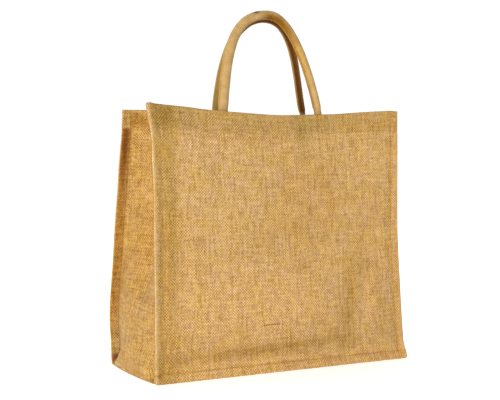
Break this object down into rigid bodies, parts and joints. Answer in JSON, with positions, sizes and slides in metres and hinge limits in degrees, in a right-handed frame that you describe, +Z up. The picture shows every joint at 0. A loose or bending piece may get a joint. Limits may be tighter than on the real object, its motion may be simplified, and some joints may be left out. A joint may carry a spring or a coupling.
{
  "type": "jute tote bag",
  "caption": "Open-topped tote bag of plain natural jute, boxy with pinched seam flanges and gussets folding inwards, standing on its base, with stuffed cotton loop handles",
  "frame": {"origin": "on the surface the bag stands on, under the middle of its box", "axes": "+X towards the right of the front panel, +Y from the front panel to the back panel, +Z up"},
  "size_m": [0.4312, 0.1716, 0.5239],
  "materials": {
    "jute_panel": "matt plain-woven jute",
    "jute_band": "matt plain-woven jute",
    "cotton_handle": "matt smooth cotton"
  },
  "bodies": {
    "root": {"front_panel": "jute_panel", "back_panel": "jute_panel", "gusset_band": "jute_band", "handle_front": "cotton_handle", "handle_back": "cotton_handle"}
  },
  "joints": []
}
